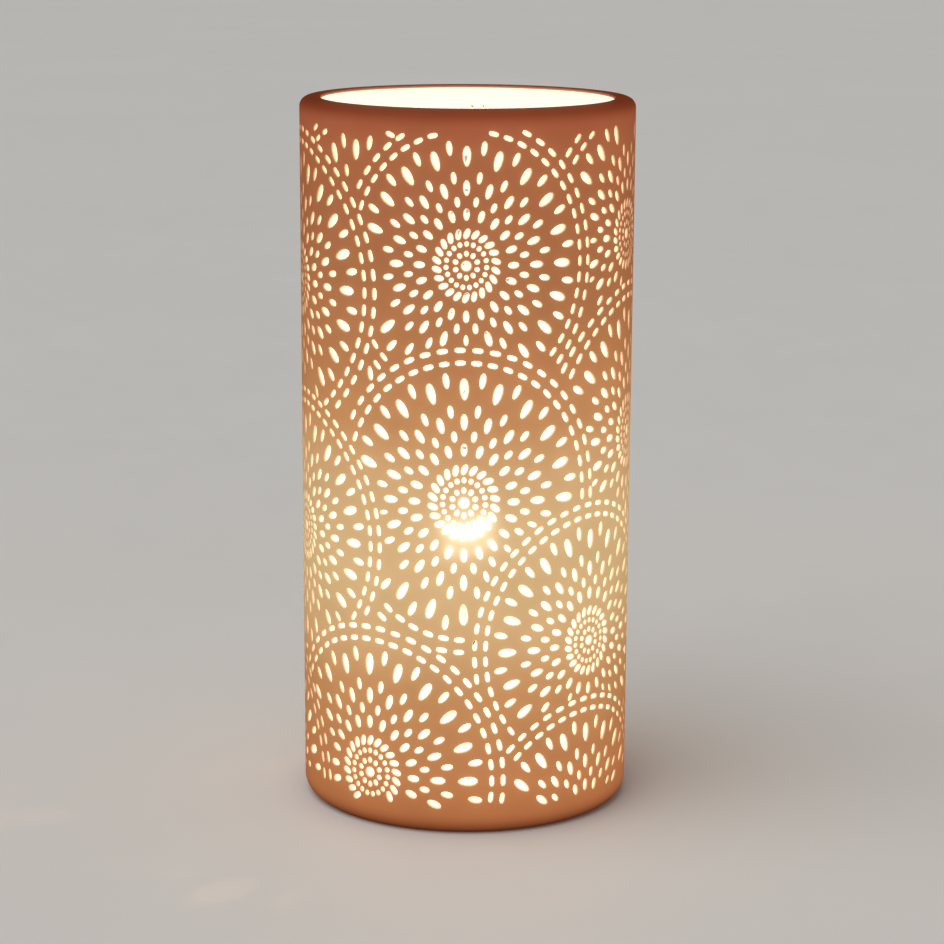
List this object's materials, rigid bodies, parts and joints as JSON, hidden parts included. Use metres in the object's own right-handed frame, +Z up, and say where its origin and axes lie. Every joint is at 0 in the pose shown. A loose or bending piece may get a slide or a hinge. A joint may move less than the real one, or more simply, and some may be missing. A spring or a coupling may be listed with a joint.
{
  "type": "tealight holder",
  "caption": "Tall pierced porcelain cylinder, open at the top, that glows through overlapping rosettes of holes round a clear-cup tealight.",
  "frame": {"origin": "middle of the foot, on the surface that the holder stands on", "axes": "+Z up the cylinder's axis, out of the open rim; -Y is the side that the reference view looks at"},
  "size_m": [0.052, 0.052, 0.111],
  "materials": {
    "porcelain": "satin, thin enough to let light through",
    "clear_cup": "gloss, clear",
    "wax": "satin, waxy",
    "wick_cotton": "braided cotton, charred at the tip",
    "sustainer_steel": "pressed sheet, satin"
  },
  "bodies": {
    "porcelain_holder": {"holder": "porcelain"},
    "tealight": {"cup": "clear_cup", "wax": "wax", "wick": "wick_cotton", "wick_sustainer": "sustainer_steel"}
  },
  "joints": [
    {"name": "tealight_lift", "type": "slide", "parent": "porcelain_holder", "child": "tealight", "axis": [0, 0, 1], "range_m": [0, 0.12]}
  ]
}
